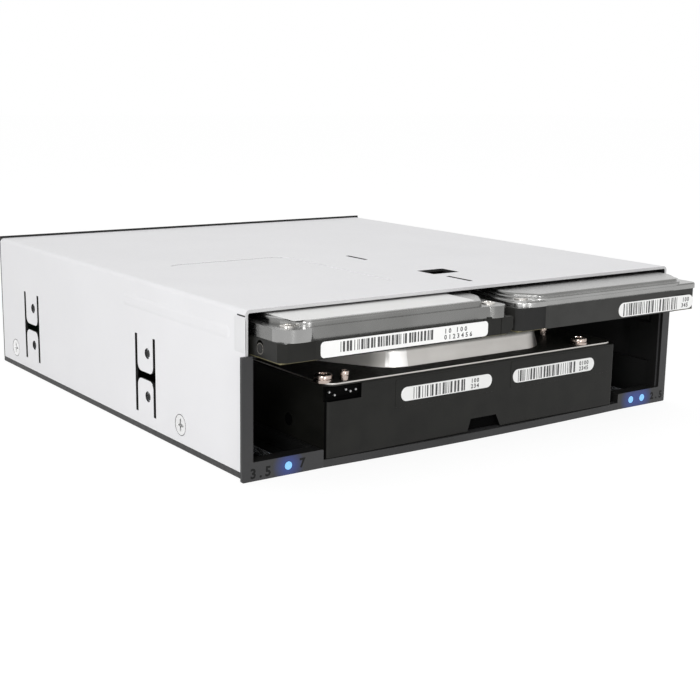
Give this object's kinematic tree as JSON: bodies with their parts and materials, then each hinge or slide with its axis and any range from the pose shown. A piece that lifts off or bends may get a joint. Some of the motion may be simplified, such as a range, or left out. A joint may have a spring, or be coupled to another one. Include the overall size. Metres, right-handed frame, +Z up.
{
  "type": "hot swap drive cage",
  "caption": "Half-height bay cage with a white cover and black bezel; one large drive slides in below, small drives side by side above.",
  "frame": {"origin": "on the underside of the base, on the centre line, at the plane of the bezel's back (the bay's mounting datum)", "axes": "+X right seen from the front, +Y towards the rear wall, +Z up"},
  "size_m": [0.149, 0.1713, 0.0419],
  "materials": {
    "cover_white": "satin white powder coat on steel sheet",
    "base_black": "black paint on steel sheet",
    "bezel_black": "fine-textured black ABS",
    "shelf_black": "black paint on steel sheet",
    "rail_black": "smooth black acetal",
    "clear_guide": "clear acrylic",
    "lamp": "blue LED",
    "connector_black": "black connector plastic",
    "board_green": "green solder mask",
    "nut_steel": "zinc-plated steel",
    "screw_steel": "nickel-plated steel",
    "drive_black": "black-coated cast aluminium",
    "drive_lid": "bare stamped lid"
  },
  "bodies": {
    "cage": {"base_tray": "base_black", "board_link": "connector_black", "centre_divider": "shelf_black", "clinch_nuts": "nut_steel", "cover_screws": "screw_steel", "cover_shell": "cover_white", "data_port_left": "connector_black", "data_port_lower": "connector_black", "data_port_right": "connector_black", "front_bezel": "bezel_black", "guide_rail_left": "rail_black", "guide_rail_right": "rail_black", "left_socket": "connector_black", "light_pipe_left": "clear_guide", "light_pipe_lower": "clear_guide", "light_pipe_right": "clear_guide", "lower_board": "board_green", "lower_board_screws": "screw_steel", "lower_socket": "connector_black", "lower_standoffs": "nut_steel", "mid_shelf": "shelf_black", "pipe_clips": "rail_black", "power_port": "connector_black", "right_socket": "connector_black", "status_lamps": "lamp", "upper_board": "board_green", "upper_board_screws": "screw_steel", "upper_standoffs": "nut_steel"},
    "lower_drive": {"lower_drive_base": "drive_black", "lower_drive_board": "board_green", "lower_drive_cover": "drive_lid", "lower_drive_plug": "connector_black", "lower_drive_screws": "screw_steel"},
    "left_drive": {"left_drive_base": "drive_black", "left_drive_board": "board_green", "left_drive_cover": "drive_lid", "left_drive_plug": "connector_black", "left_drive_screws": "screw_steel"},
    "right_drive": {"right_drive_base": "drive_black", "right_drive_board": "board_green", "right_drive_cover": "drive_lid", "right_drive_plug": "connector_black", "right_drive_screws": "screw_steel"}
  },
  "joints": [
    {"name": "lower_drive_slide", "type": "slide", "parent": "cage", "child": "lower_drive", "axis": [0, -1, 0], "range_m": [0, 0.135]},
    {"name": "left_drive_slide", "type": "slide", "parent": "cage", "child": "left_drive", "axis": [0, -1, 0], "range_m": [-0.0125, 0.0775]},
    {"name": "right_drive_slide", "type": "slide", "parent": "cage", "child": "right_drive", "axis": [0, -1, 0], "range_m": [-0.0125, 0.0775]}
  ]
}
